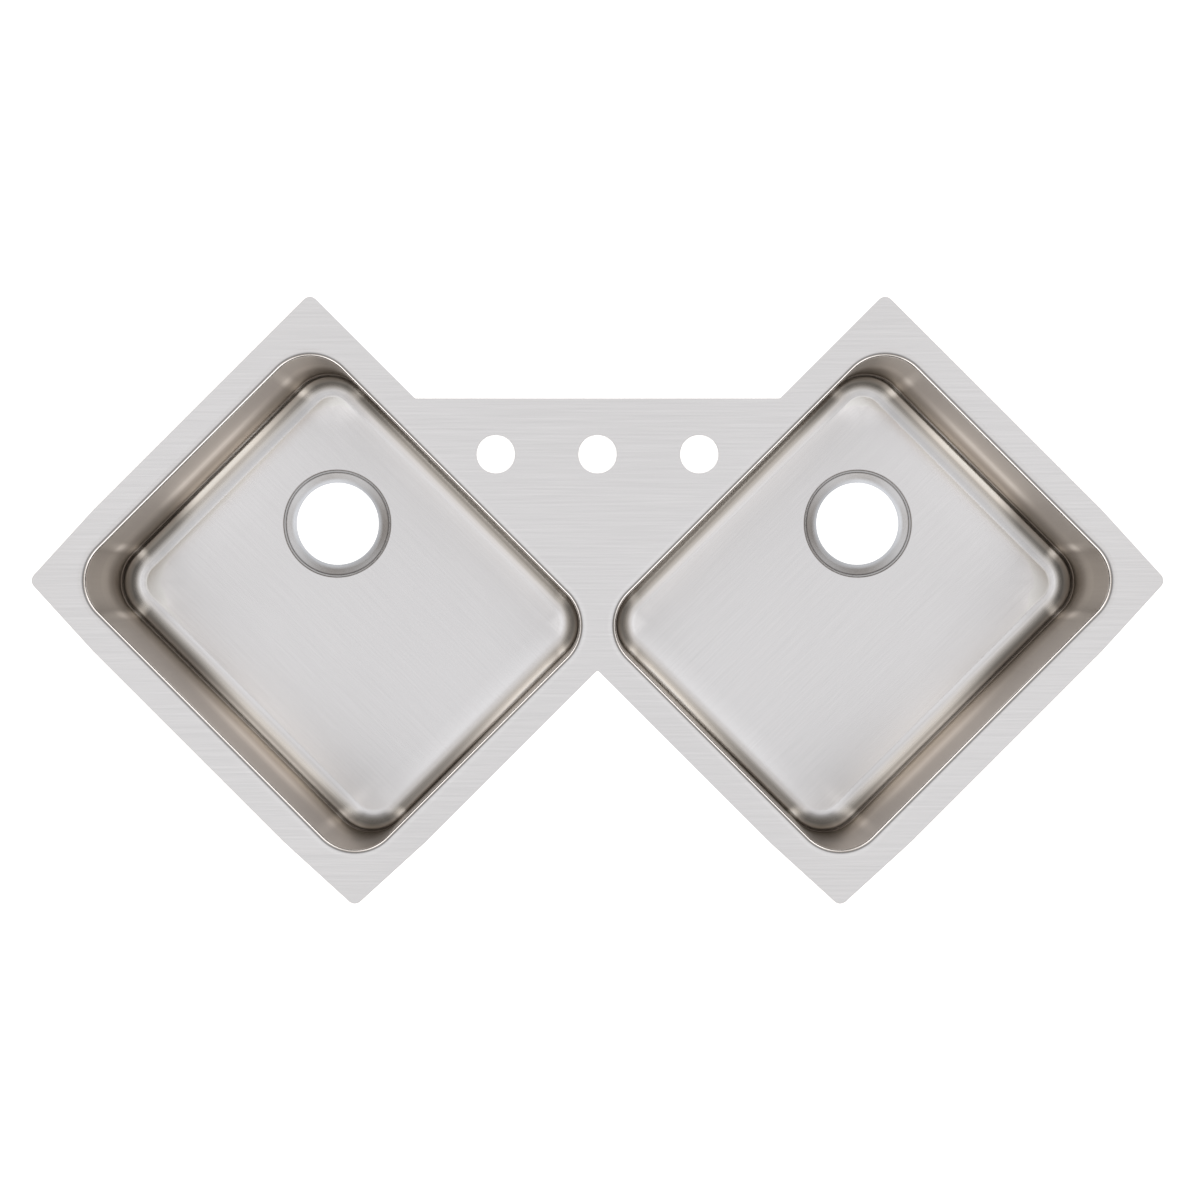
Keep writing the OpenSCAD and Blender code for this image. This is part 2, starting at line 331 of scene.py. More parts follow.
def wallStations():
    # Places round the opening: a point on the frame of the corner centres, and the way out from it
    form = bowlForm
    halfU = form["length"] / 2 - form["cornerRadius"]
    halfV = form["width"] / 2 - form["cornerRadius"]
    feet = [Vector(point) for point in ((halfU, halfV), (-halfU, halfV), (-halfU, -halfV), (halfU, -halfV))]
    stations = []
    for k, foot in enumerate(feet):
        for i in range(form["cornerSteps"] + 1):
            angle = math.pi / 2 * (k + i / form["cornerSteps"])
            stations.append((foot, Vector((math.cos(angle), math.sin(angle)))))
        steps = form["widthSteps"] if k % 2 else form["lengthSteps"]
        out = stations[-1][1]
        stations += [(foot.lerp(feet[(k + 1) % 4], i / steps), out) for i in range(1, steps)]
    return stations


def placeInSink(u, v, z, side):
    x = u * math.cos(turn) + v * math.sin(turn) - bowlX / mm
    y = v * math.cos(turn) - u * math.sin(turn)
    return Vector((side * -x * mm, y * mm, z * mm))


def directInSink(u, v, z, side):
    return Vector((side * -(u * math.cos(turn) + v * math.sin(turn)),
                   v * math.cos(turn) - u * math.sin(turn), z)).normalized()


def drainInBowl(drain, side):
    u = (-side * drain["pos_m"][0] + bowlX) / mm
    v = drain["pos_m"][1] / mm
    return Vector((u * math.cos(turn) - v * math.sin(turn), u * math.sin(turn) + v * math.cos(turn)))


def skinRings(stations, drain, side, offset):
    # Rings from the weld to the drain hole, offset into the steel. Each point has its place in
    # plan, its height, and the level and upward parts of the way it faces.
    form = bowlForm
    walls, seat = wallPath(), drainPath(drain["dims"]["r_mm"])
    corner = form["cornerRadius"]
    centre = drainInBowl(drain, side)
    floorEdge = [foot + out * (corner + walls[-1][0].x) for foot, out in stations]
    spokes = [(point - centre).normalized() for point in floorEdge]
    rings = []
    for point, into, shine in walls:
        x, z = point.x + offset * into.x, point.y + offset * into.y
        facing = -into if offset else -shine
        rings.append([(foot + out * (corner + x), z, out * facing.x, facing.y) for foot, out in stations])
    recess = seat[0][0].x
    for k in range(1, form["floorRings"]):
        share = k / form["floorRings"]
        rings.append([(edge.lerp(centre + spoke * recess, share), -form["depth"] - offset, Vector((0, 0)), 1)
                      for edge, spoke in zip(floorEdge, spokes)])
    for point, into in seat:
        r, z = point.x + offset * into.x, point.y + offset * into.y
        rings.append([(centre + spoke * r, z, spoke * -into.x, -into.y) for spoke in spokes])
    return rings


def bowlMesh(name, side, drain):
    stations = wallStations()
    rings = skinRings(stations, drain, side, 0)
    cutRings = [len(rings) - 1]
    for ring in reversed(skinRings(stations, drain, side, sheet / mm)):
        rings.append([(p, z, -level, -up) for p, z, level, up in ring])
    cutRings.append(len(rings) - 1)
    points = [placeInSink(p.x, p.y, z, side) for ring in rings for p, z, level, up in ring]
    facings = [directInSink(level.x, level.y, up, side) for ring in rings for p, z, level, up in ring]
    count = len(stations)
    faces, cutFaces = [], set()
    for r in range(len(rings)):
        after = (r + 1) % len(rings)
        for i in range(count):
            j = (i + 1) % count
            if r in cutRings:
                cutFaces.add(len(faces))
            faces.append((r * count + i, r * count + j, after * count + j, after * count + i))
    mesh = bpy.data.meshes.new(name)
    mesh.from_pydata(points, [], faces)
    work = bmesh.new()
    work.from_mesh(mesh)
    bmesh.ops.recalc_face_normals(work, faces=work.faces)
    work.to_mesh(mesh)
    work.free()
    mesh.shade_smooth()
    shading = [Vector()] * len(mesh.loops)
    for face in mesh.polygons:
        isCut = face.index in cutFaces
        for loop in face.loop_indices:
            shading[loop] = face.normal.copy() if isCut else facings[mesh.loops[loop].vertex_index]
    mesh.normals_split_custom_set(shading)
    bowl = bpy.data.objects.new(name, mesh)
    bpy.context.scene.collection.objects.link(bowl)
    return bowl


# Bowl steel: bands of painted reflection and shade by height, painted shade in the corners and painted
# glints, all set by place.
# Places are in mm. Height is 0 at the deck. Outwards and back count from the bowl's centre, away
# from the sink's middle and towards the tap holes. Outside counts from the opening line, and
# around from the start of the nearest corner.

plainLip = [(0.0, 1.0), (0.011, 1.0)]

bowlLook = {
    "floorPale": (0.729, 0.721, 0.733),
    "floorDark": (0.685, 0.677, 0.689),
    "wallPale": (0.850, 0.834, 0.811),
    "wallDark": (0.818, 0.802, 0.779),
    "glancingTint": (1.0, 0.935, 0.87, 1.0),  # glancing reflections are warmer than face on ones
    "floorRoughness": (0.20, 0.24),
    "wallRoughness": (0.28, 0.30),
    "spreadAcrossPolish": 0.95,
    "grainScale": (40, 1600, 1600),
    "streakScale": (14, 520, 520),
    "wallGrainScale": (700, 700, 12),
    "wallGrainDetail": 4,
    "floorDepth": 0.004,
    "wallDepth": 0.0006,
    "grainStrength": 0.6,
    "wallToneRise": (0.4, 4),   # above the floor, where the wall's tone sets in
    "wallDullRise": (1, 6),     # and its duller finish, which ends below the lip
    "lipDullFall": (-3, -6),
    "steepRise": (0.02, 0.08),  # sine of the tilt at which the floor's polish gives way to the wall's
    "trimStart": (0.2, 1.2),    # outside
    # Painted highlight and shade across the lip, over this width outside the opening line
    "lipPaintedLightWidth": 8,
    "lipPaintedLight": [(0.0, 1.0), (0.08, 1.25), (0.21, 1.25), (0.29, 0.45), (0.42, 0.45), (0.53, 0.9),
                 (0.7, 1.0)],
}

# Painted reflection and shade as tones, from the deck at 0 down to the bottom bend at bendAt, and over the
# bend to the floor at 1
paintedReflection = {
    "bendAt": 0.8,
    "bendInset": 1.5,        # how far inside the opening line the bend starts
    "greyFrom": 0.85,        # no warmth from here to the floor
    "shadeWarmth": (0.06, 0.12),  # green and blue that painted shade loses, as shares of its darkness
    "cornerShadeWarmth": (0.10, 0.18),
    # The outer walls at the back and the front, then the inner walls
    "back": [*plainLip, (0.022, 0.33), (0.14, 0.325), (0.225, 0.40), (0.30, 0.55), (0.345, 0.88),
             (0.385, 1.12), (0.445, 0.94), (0.50, 0.58), (0.575, 0.36), (0.638, 0.55), (0.70, 0.75),
             (0.75, 0.56), (0.79, 0.78), (0.806, 1.1), (0.818, 1.22), (0.835, 1.24), (0.85, 1.25),
             (0.864, 0.90), (0.88, 0.90), (0.90, 0.90), (0.923, 0.73), (0.945, 0.58), (0.972, 0.54),
             (0.988, 0.66), (1.0, 1.0)],
    "front": [*plainLip, (0.022, 0.24), (0.14, 0.215), (0.225, 0.24), (0.30, 0.31), (0.345, 0.47),
              (0.385, 0.62), (0.445, 0.88), (0.50, 0.74), (0.575, 0.48), (0.638, 0.56), (0.70, 0.77),
              (0.75, 0.60), (0.79, 0.75), (0.806, 1.1), (0.818, 1.05), (0.835, 0.66), (0.85, 0.66),
              (0.864, 0.98), (0.88, 1.20), (0.90, 1.06), (0.923, 0.98), (0.945, 0.81), (0.977, 0.80),
              (1.0, 1.0)],
    "innerBack": [*plainLip, (0.022, 0.68), (0.78, 0.68), (0.80, 0.86), (0.812, 1.3), (0.823, 1.7),
                  (0.84, 1.1), (0.852, 0.53), (0.868, 0.50), (0.885, 0.77), (0.905, 0.90), (0.923, 1.15),
                  (0.945, 1.18), (0.967, 1.08), (0.985, 1.0), (1.0, 1.0)],
    "innerFront": [*plainLip, (0.022, 0.38), (0.78, 0.42), (0.80, 0.72), (0.812, 1.15), (0.823, 1.65),
                   (0.84, 1.3), (0.863, 1.04), (0.885, 0.88), (0.905, 0.88), (0.923, 0.96), (0.945, 1.02),
                   (0.967, 1.02), (1.0, 1.0)],
    # What the painted shade of corners, and the painted highlights and shade of round parts and of round
    # parts at the front, multiply these by
    "corner": [*plainLip, (0.03, 0.65), (0.22, 0.43), (0.38, 0.21), (0.55, 0.27), (0.74, 0.46), (0.82, 0.31),
               (0.86, 0.36), (0.88, 0.46), (0.90, 0.66), (0.93, 0.95), (1.0, 1.0)],
    "round": [*plainLip, (0.03, 1.02), (0.3, 1.08), (0.45, 1.05), (0.75, 0.85), (0.82, 0.7), (0.86, 0.54),
              (0.88, 0.66), (0.90, 0.86), (0.93, 1.02), (0.97, 1.15), (1.0, 1.15)],
    "frontRound": [*plainLip, (0.03, 1.1), (0.3, 1.2), (0.45, 1.05), (0.75, 0.85), (0.82, 0.7), (0.86, 0.5),
                   (0.88, 0.56), (0.90, 0.52), (0.93, 0.5), (0.955, 0.8), (0.975, 0.95), (1.0, 1.0)],
    # Where each band of painted light and shade fades in. The corners also have how dark their painted shade
    # gets.
    "innerSide": (25, -25),            # outwards
    "frontSide": (30, -30),            # back
    "outerAndInnerCorner": [((162, 194), 1), ((-205, -235), 0.85)],    # outwards
    "backAndFrontCorner": [((165, 220), 0.85), ((-175, -225), 0.75)],  # back
    "frontOfOuterCorner": (100, 176),  # outwards
    "frontOfInnerSide": (-90, -185),   # back
    # Painted glint where each corner starts
    "glintStart": (-14, -6),           # around
    "glintEnd": (3, -5),
    "glintDrift": -7,                  # around, from the wall's foot to the floor
    "glintShare": 0.85,
    "roundPart": (2, 12),              # around
    "roundShares": (0.7, 1),           # how much of it corners with little and with full painted shade get
    "frontRoundSide": (-140, -180),    # back
}

# Painted light: the floor is made brighter towards the walls, most so along the outer ones
floorPaintedLight = {
    "edgeBand": (-110, -20),  # outside, where the tones below run from 0 to 1
    "backEdge": [(0.0, 1.04), (0.49, 1.06), (0.6, 1.08), (0.71, 1.10), (0.80, 1.135), (0.855, 1.20),
                 (0.90, 1.36), (0.95, 1.6), (1.0, 1.6)],
    "frontEdge": [(0.0, 1.07), (0.49, 1.145), (0.6, 1.18), (0.68, 1.22), (0.80, 1.30), (0.88, 1.34),
                  (0.93, 1.36), (0.97, 1.34), (1.0, 1.32)],
    "innerEdge": [(0.0, 1.0), (0.75, 1.0), (0.88, 1.05), (0.95, 1.10), (1.0, 1.10)],
    "outerSide": (-60, 150),         # outwards
    "frontSide": (60, -60),          # back
    "cornerLift": 0.24,              # how much more painted light its corners get
    "cornerBand": (-62, -28),        # outside
    "cornerPart": (-24, 2),          # around
    "pastInnerCorner": (-160, -60),  # outwards, with no lift in the inner corner
    "frontCorner": (-90, -170),      # back, with these shares of the lift
    "frontCornerShares": (1, 0.35),
}

# Painted shade round the drain: a darker seat, a dark ring at the step, one side of the seat lighter than
# the other, and a cool tint on the seat
drainPaintedLight = {
    "reach": 80,  # distance from the drain's centre at which the shade's stops end
    "shade": [(0.0, 0.86), (0.60, 0.84), (0.64, 0.90), (0.68, 0.92), (0.694, 0.45), (0.72, 0.45),
              (0.74, 1.0), (1.0, 1.0)],
    "sides": [(0.0, 0.90), (0.5, 1.0), (0.75, 1.18), (0.86, 1.26), (1.0, 1.2)],  # painted shade to painted highlight, from front inner to back outer
    "tint": (0.97, 1.005, 1.04),
    "seatEdge": (57, 55),  # distance at which the sides and the tint fade in
}


def planDistances(tree, fromCentre, turned):
    # Outside, which is below 0 within the bowl, and around
    form = bowlForm
    corner = form["cornerRadius"] * mm
    flat = addNode(tree, "Mapping", {"Vector": fromCentre, "Rotation": (0, 0, turned)}).outputs[0]
    pastHeights = 1  # in metres, so that heights don't count
    cornerCentre = (form["length"] / 2 * mm - corner, form["width"] / 2 * mm - corner, pastHeights)
    beyond = vectorNode(tree, "SUBTRACT", vectorNode(tree, "ABSOLUTE", flat), cornerCentre)
    length = vectorNode(tree, "LENGTH", vectorNode(tree, "MAXIMUM", beyond, (0, 0, 0)))
    u, v = splitVector(tree, beyond)[:2]
    inner = mathNode(tree, "MINIMUM", mathNode(tree, "MAXIMUM", u, v), 0)
    distance = mathNode(tree, "ADD", length, inner)
    outside = rescale(tree, distance, (corner, corner + mm), (0, 1), clamp=False)
    return outside, mathNode(tree, "DIVIDE", mathNode(tree, "MINIMUM", u, v), mm)


def bowlPlaces(tree, place, side, turned):
    fromCentre = vectorNode(tree, "SUBTRACT", place, (side * bowlX, 0, 0))
    across, back, up = splitVector(tree, fromCentre)
    outside, around = planDistances(tree, fromCentre, turned)
    return {
        "height": mathNode(tree, "DIVIDE", up, mm),
        "outwards": mathNode(tree, "DIVIDE", across, side * mm),
        "back": mathNode(tree, "DIVIDE", back, mm),
        "outside": outside,
        "around": around,
    }


def shadeWarmStops(stops, shadeWarmth):
    # Painted shade turns warm as it darkens
    warm = []
    for position, tone in stops:
        shadeDepth = min(0, tone - 1) if position < paintedReflection["greyFrom"] else 0
        warm.append((position, (tone, tone * (1 + shadeWarmth[0] * shadeDepth), tone * (1 + shadeWarmth[1] * shadeDepth))))
    return warm


def cornerShadeShare(tree, at, inner, front):
    # How much painted corner shade each place has
    shares = [fade(tree, at["outwards"], span, full) for span, full in paintedReflection["outerAndInnerCorner"]]
    shares += [fade(tree, at["back"], span, full) for span, full in paintedReflection["backAndFrontCorner"]]
    shares.append(multiply(tree, front, fade(tree, at["outwards"], paintedReflection["frontOfOuterCorner"])))
    shares.append(multiply(tree, inner, fade(tree, at["back"], paintedReflection["frontOfInnerSide"])))
    most = shares[0]
    for share in shares[1:]:
        most = mathNode(tree, "MAXIMUM", most, share)
    return most


def paintedReflectionTone(tree, at):
    # Tone of the walls and the bottom bend: painted reflection bands, painted shade in the corners and a
    # painted glint where each one starts
    bendTop = -(bowlForm["depth"] - bowlForm["floorRadius"])
    bendSpan = (-paintedReflection["bendInset"], -paintedReflection["bendInset"] - bowlForm["floorRadius"])
    down = mathNode(tree, "ADD", rescale(tree, at["height"], (0, bendTop), (0, paintedReflection["bendAt"])),
                    rescale(tree, at["outside"], bendSpan, (0, 1 - paintedReflection["bendAt"])))
    inner = fade(tree, at["outwards"], paintedReflection["innerSide"])
    front = fade(tree, at["back"], paintedReflection["frontSide"])
    corner = cornerShadeShare(tree, at, inner, front)
    # A painted glint where each corner starts, drifting along the bend
    drift = rescale(tree, at["outside"], bendSpan, (0, paintedReflection["glintDrift"]))
    around = mathNode(tree, "ADD", at["around"], drift)
    paintedGlint = multiply(tree, fade(tree, around, paintedReflection["glintStart"]), fade(tree, around, paintedReflection["glintEnd"]),
                     paintedReflection["glintShare"])
    # Painted shade in the corners, lifted where the painted glint is
    shadedShare = multiply(tree, corner, mathNode(tree, "SUBTRACT", 1, paintedGlint))
    # Round parts of the corners get painted highlights and shade
    roundLightShare = multiply(tree, fade(tree, at["around"], paintedReflection["roundPart"]),
                       rescale(tree, corner, (0, 1), paintedReflection["roundShares"]))
    walls = {name: toneBands(tree, down, shadeWarmStops(paintedReflection[name], paintedReflection["shadeWarmth"]))
             for name in ("back", "front", "innerBack", "innerFront")}
    corners = {name: toneBands(tree, down, shadeWarmStops(paintedReflection[name], paintedReflection["cornerShadeWarmth"]))
               for name in ("corner", "round", "frontRound")}
    tone = blend(tree, inner, blend(tree, front, walls["back"], walls["front"]),
                 blend(tree, front, walls["innerBack"], walls["innerFront"]))
    roundPaintedLight = blend(tree, rescale(tree, at["back"], paintedReflection["frontRoundSide"], (0, 1)),
                      corners["round"], corners["frontRound"])
    plain = joinVector(tree, 1, 1, 1)
    tone = tint(tree, tone, blend(tree, shadedShare, plain, corners["corner"]))
    return tint(tree, tone, blend(tree, roundLightShare, plain, roundPaintedLight))


def floorTone(tree, at, share):
    # The floor's brushed tone, with painted light towards the walls and in its corners
    look = floorPaintedLight
    tone = blendTones(tree, share, bowlLook["floorDark"], bowlLook["floorPale"])
    nearWall = rescale(tree, at["outside"], look["edgeBand"], (0, 1))
    backEdge, frontEdge, innerEdge = (
        toneBands(tree, nearWall, look[name]) for name in ("backEdge", "frontEdge", "innerEdge"))
    outerEdge = blend(tree, fade(tree, at["back"], look["frontSide"]), backEdge, frontEdge)
    tone = tint(tree, tone, blend(tree, fade(tree, at["outwards"], look["outerSide"]), innerEdge, outerEdge))
    paintedLift = multiply(tree, fade(tree, at["outside"], look["cornerBand"]),
                    fade(tree, at["around"], look["cornerPart"], look["cornerLift"]),
                    fade(tree, at["outwards"], look["pastInnerCorner"]),
                    rescale(tree, at["back"], look["frontCorner"], look["frontCornerShares"], smooth=True))
    return scaled(tree, tone, mathNode(tree, "ADD", 1, paintedLift))


def drainTone(tree, tone, place, word, side):
    # Painted shade and highlight on the drain seat and its step
    drain = Vector(mounts[word + "_drain_hole"]["pos_m"])
    drain.z = -bowlForm["depth"] * mm
    distance = mathNode(tree, "DIVIDE", vectorNode(tree, "DISTANCE", place, drain), mm)
    shade = toneBands(tree, rescale(tree, distance, (0, drainPaintedLight["reach"]), (0, 1)), drainPaintedLight["shade"])
    away = vectorNode(tree, "NORMALIZE", vectorNode(tree, "SUBTRACT", place, drain))
    towardsBack = vectorNode(tree, "DOT_PRODUCT", away, (side, 1, 0))
    roundSeat = rescale(tree, towardsBack, (-math.sqrt(2), math.sqrt(2)), (0, 1))
    sides = tint(tree, toneBands(tree, roundSeat, drainPaintedLight["sides"]), drainPaintedLight["tint"])
    onSeat = rescale(tree, distance, drainPaintedLight["seatEdge"], (0, 1))
    return tint(tree, tint(tree, tone, shade), blend(tree, onSeat, joinVector(tree, 1, 1, 1), sides))


def lipTone(tree, tone, place, outside):
    # The trim outside the lip is brushed with the deck
    share = brushedParts(tree, place, deckLook)[1]
    tone = blend(tree, fade(tree, outside, bowlLook["trimStart"]), tone, deckTone(tree, share))
    # Painted highlight on the lip's roll and painted shade as a dark line just outside it
    overLip = rescale(tree, outside, (0, bowlLook["lipPaintedLightWidth"]), (0, 1))
    return tint(tree, tone, toneBands(tree, overLip, bowlLook["lipPaintedLight"]))


def spreadDirection(tree, turned):
    # Light spreads across the polish, which runs up and down on the walls and along the bowl on the floor
    facing = addNode(tree, "NewGeometry").outputs["Normal"]
    level = vectorNode(tree, "CROSS_PRODUCT", facing, (0, 0, 1))
    steep = rescale(tree, vectorNode(tree, "LENGTH", level), bowlLook["steepRise"], (0, 1))
    acrossFloor = joinVector(tree, math.sin(turned), math.cos(turned), 0)
    return blend(tree, steep, acrossFloor, vectorNode(tree, "NORMALIZE", level), "VECTOR")


def bowlSteel(word, side, turned):
    material, tree, shader = startMaterial(word + "BowlSteel")
    look = bowlLook
    floor = -bowlForm["depth"]
    place = addNode(tree, "TexCoord").outputs["Object"]
    at = bowlPlaces(tree, place, side, turned)
    grain, share = brushedParts(tree, place, look, turned)
    wallGrain = stretchedNoise(tree, place, look["wallGrainScale"], look["wallGrainDetail"])
    onWall, onSteepWall = (
        fade(tree, at["height"], [floor + above for above in look[name]])
        for name in ("wallToneRise", "wallDullRise"))
    wallTone = blendTones(tree, wallGrain, look["wallDark"], look["wallPale"])
    tone = tint(tree, blend(tree, onWall, floorTone(tree, at, share), wallTone), paintedReflectionTone(tree, at))
    tone = drainTone(tree, tone, place, word, side)
    tree.links.new(lipTone(tree, tone, place, at["outside"]), shader.inputs["Base Color"])
    onSteep = multiply(tree, onSteepWall, fade(tree, at["height"], look["lipDullFall"]))
    roughness = blend(tree, onSteep, rescale(tree, grain, noiseSpan, look["floorRoughness"]),
                      rescale(tree, wallGrain, noiseSpan, look["wallRoughness"]), "FLOAT")
    tree.links.new(roughness, shader.inputs["Roughness"])
    relief = blend(tree, onWall, multiply(tree, grain, look["floorDepth"] * mm),
                   multiply(tree, wallGrain, look["wallDepth"] * mm), "FLOAT")
    addBump(tree, shader, relief, look["grainStrength"], 1.0)
    shader.inputs["Metallic"].default_value = 1.0
    shader.inputs["Specular Tint"].default_value = look["glancingTint"]
    shader.inputs["Anisotropic"].default_value = look["spreadAcrossPolish"]
    tree.links.new(spreadDirection(tree, turned), shader.inputs["Tangent"])
    return material


def makeBowl(word, side):
    bowl = bowlMesh(word + "Bowl", side, mounts[word + "_drain_hole"])
    bowl.data.materials.append(bowlSteel(word, side, side * -turn))
    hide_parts(word + "_bowl")
    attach(bowl, "root")
    print("bowl:", word, len(bowl.data.vertices), "points")


for word, side in (("left", -1), ("right", 1)):
    makeBowl(word, side)


# Deck plate: one sheet with two openings, tap holes and softened outer edges

deckForm = {
    "flangeWidth": 31.75,
    "backEdge": 204.4,    # from the bowls' centres to the edge behind the tap holes
    "easeLength": 100.0,  # the sides run in by easeDepth over this length, at the outer and front tips
    "easeDepth": 4.4,
    "tipRadius": 9.0,
    "backRadius": 4.0,
    "notchRadius": 1.7,
    "edgeRadius": 0.3,
    "edgeSteps": 4,
    "arcSteps": 12,
    "tapSteps": 96,
    "mitreLimit": 0.5,    # a mitre is at most 1 / mitreLimit times its inset
}


def roundCorner(before, corner, after, radius, steps):
    a, b = (before - corner).normalized(), (after - corner).normalized()
    half = a.angle(b) / 2
    centre = corner + (a + b).normalized() * radius / math.sin(half)
    start = corner + a * radius / math.tan(half) - centre
    angle = math.atan2(start.y, start.x)
    sweep = (math.pi - 2 * half) * (1 if a.x * b.y - a.y * b.x > 0 else -1)
    turns = [angle - sweep * k / steps for k in range(steps + 1)]
    return [centre + radius * Vector((math.cos(a), math.sin(a))) for a in turns]


def deckOutline():
    form = deckForm
    flangeU = bowlForm["length"] / 2 + form["flangeWidth"]
    flangeV = bowlForm["width"] / 2 + form["flangeWidth"]
    tipU, tipV = flangeU - form["easeDepth"], flangeV - form["easeDepth"]
    ease = form["easeLength"]
    tip = form["tipRadius"]

    def inPlan(u, v):
        return (placeInSink(u, v, 0, -1) / mm).xy

    backStart = -bowlX / mm - form["backEdge"] + flangeV / math.cos(turn)
    left = [
        (Vector((backStart, form["backEdge"])), form["backRadius"]),
        (inPlan(-flangeU, flangeV), tip),
        (inPlan(-flangeU, ease - flangeV), 0),
        (inPlan(-tipU, -tipV), tip),
        (inPlan(ease - flangeU, -flangeV), 0),
        (inPlan(flangeU - ease, -flangeV), 0),
        (inPlan(tipU, -tipV), tip),
        (inPlan(flangeU, ease - flangeV), 0),
    ]
    notch = (Vector((0, bowlX / mm - flangeU / math.cos(turn))), form["notchRadius"])
    right = [(Vector((-point.x, point.y)), radius) for point, radius in reversed(left)]
    corners = left + [notch] + right
    outline = []
    for i, (point, radius) in enumerate(corners):
        before, after = corners[i - 1][0], corners[(i + 1) % len(corners)][0]
        outline += roundCorner(before, point, after, radius, form["arcSteps"]) if radius else [point]
    return outline


def tapLoop(hole):
    steps = deckForm["tapSteps"]
    centre = Vector(hole["pos_m"][:2]) / mm
    turns = [2 * math.pi * k / steps for k in range(steps)]
    return [centre + hole["dims"]["r_mm"] * Vector((math.cos(a), -math.sin(a))) for a in turns]


def bowlOpening(side):
    trim = bowlForm["cornerRadius"] + bowlForm["lipRadius"] + bowlForm["trimWidth"]
    return [(placeInSink(*(foot + out * trim), 0, side) / mm).xy for foot, out in wallStations()]


def insetLoop(loop, distance):
    # Moves a closed loop to its left by distance, with mitred corners
    moved = []
    for i, point in enumerate(loop):
        a = (point - loop[i - 1]).normalized()
        b = (loop[(i + 1) % len(loop)] - point).normalized()
        left = Vector((-a.y - b.y, a.x + b.x)).normalized()
        moved.append(point + left * distance / max(deckForm["mitreLimit"], left.dot(Vector((-a.y, a.x)))))
    return moved


def edgeLevels():
    # Inset and height of each ring over a softened edge, from the top face to the bottom face
    thick, soft, steps = sheet / mm, deckForm["edgeRadius"], deckForm["edgeSteps"]
    turns = [math.pi / 2 * k / steps for k in range(steps + 1)]
    levels = [(soft * (1 - math.sin(a)), -soft * (1 - math.cos(a))) for a in turns]
    return levels + [(inset, -thick - z) for inset, z in reversed(levels)]


def addEdge(work, loop, levels, isHole):
    # Builds the side of the sheet along a loop, and returns its top and bottom rims
    area = sum(a.x * b.y - a.y * b.x for a, b in zip(loop, loop[1:] + loop[:1])) / 2
    inwards = (1 if area > 0 else -1) * (-1 if isHole else 1)
    rings = []
    for inset, z in levels:
        moved = insetLoop(loop, inset * inwards)
        rings.append([work.verts.new((p.x * mm, p.y * mm, z * mm)) for p in moved])
    count = len(loop)
    for upper, lower in zip(rings, rings[1:]):
        for i in range(count):
            j = (i + 1) % count
            work.faces.new((upper[i], upper[j], lower[j], lower[i])).smooth = len(levels) > 2
    return [[work.edges.get((ring[i], ring[(i + 1) % count])) for i in range(count)]
            for ring in (rings[0], rings[-1])]


def makeDeck():
    softened, straight = edgeLevels(), [(0, 0), (0, -sheet / mm)]
    edges = [(deckOutline(), softened, False)]
    edges += [(tapLoop(mounts[name + "_tap_hole"]), softened, True) for name in ("left", "middle", "right")]
    edges += [(bowlOpening(side), straight, True) for side in (-1, 1)]
    work = bmesh.new()
    rims = [addEdge(work, *edge) for edge in edges]
    for end in (0, 1):
        rim = [line for pair in rims for line in pair[end]]
        filled = bmesh.ops.triangle_fill(work, use_beauty=True, use_dissolve=False, edges=rim)
        for item in filled["geom"]:
            if isinstance(item, bmesh.types.BMFace):
                item.smooth = False
    bmesh.ops.recalc_face_normals(work, faces=work.faces)
    mesh = bpy.data.meshes.new("deckPlate")
    work.to_mesh(mesh)
    work.free()
    deck = bpy.data.objects.new("deckPlate", mesh)
    bpy.context.scene.collection.objects.link(deck)
    mesh.materials.append(deckSteel())
    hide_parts("deck_plate")
    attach(deck, "root")
    print("deck:", len(mesh.vertices), "points")


makeDeck()


# Underside: weld beads, sprayed coat and rubber pads keep their CAD shape

weldLook = {
    "heatColours": [(0.38, (0.62, 0.60, 0.58)), (0.55, (0.50, 0.38, 0.22)), (0.66, (0.22, 0.26, 0.38))],
    "patchScale": 40,
    "patchDetail": 3,
    "rippleScale": 900,
    "rippleDetail": 2,
    "rippleDepth": 0.3,
    "rippleStrength": 0.8,
    "roughness": (0.3, 0.5),
}


def weldSteel():
    material, tree, shader = startMaterial("weldSteel")
    look = weldLook
    place = addNode(tree, "TexCoord").outputs["Object"]
    patches = plainNoise(tree, place, look["patchScale"], look["patchDetail"])
    ripple = plainNoise(tree, place, look["rippleScale"], look["rippleDetail"])
    tree.links.new(toneBands(tree, patches, look["heatColours"]), shader.inputs["Base Color"])
    tree.links.new(rescale(tree, ripple, noiseSpan, look["roughness"]), shader.inputs["Roughness"])
    addBump(tree, shader, ripple, look["rippleStrength"], look["rippleDepth"] * mm)
    shader.inputs["Metallic"].default_value = 1.0
    return material


coatLook = {
    "pale": (0.165, 0.170, 0.176),
    "dark": (0.120, 0.124, 0.130),
    "cloudScale": 14,
    "cloudDetail": 4,
    "peelScale": 420,
    "peelDetail": 2,
    "peelDepth": 0.35,
    "peelStrength": 0.7,
    "contrast": (0.75, 1.25),
    "roughness": (0.55, 0.75),
}


def sprayedCoat():
    material, tree, shader = startMaterial("sprayedCoat")
    look = coatLook
    place = addNode(tree, "TexCoord").outputs["Object"]
    clouds = plainNoise(tree, place, look["cloudScale"], look["cloudDetail"])
    peel = plainNoise(tree, place, look["peelScale"], look["peelDetail"])
    share = rescale(tree, mathNode(tree, "ADD", clouds, peel), look["contrast"], (0, 1))
    tree.links.new(blendTones(tree, share, look["dark"], look["pale"]), shader.inputs["Base Color"])
    tree.links.new(rescale(tree, peel, noiseSpan, look["roughness"]), shader.inputs["Roughness"])
    addBump(tree, shader, peel, look["peelStrength"], look["peelDepth"] * mm)
    return material


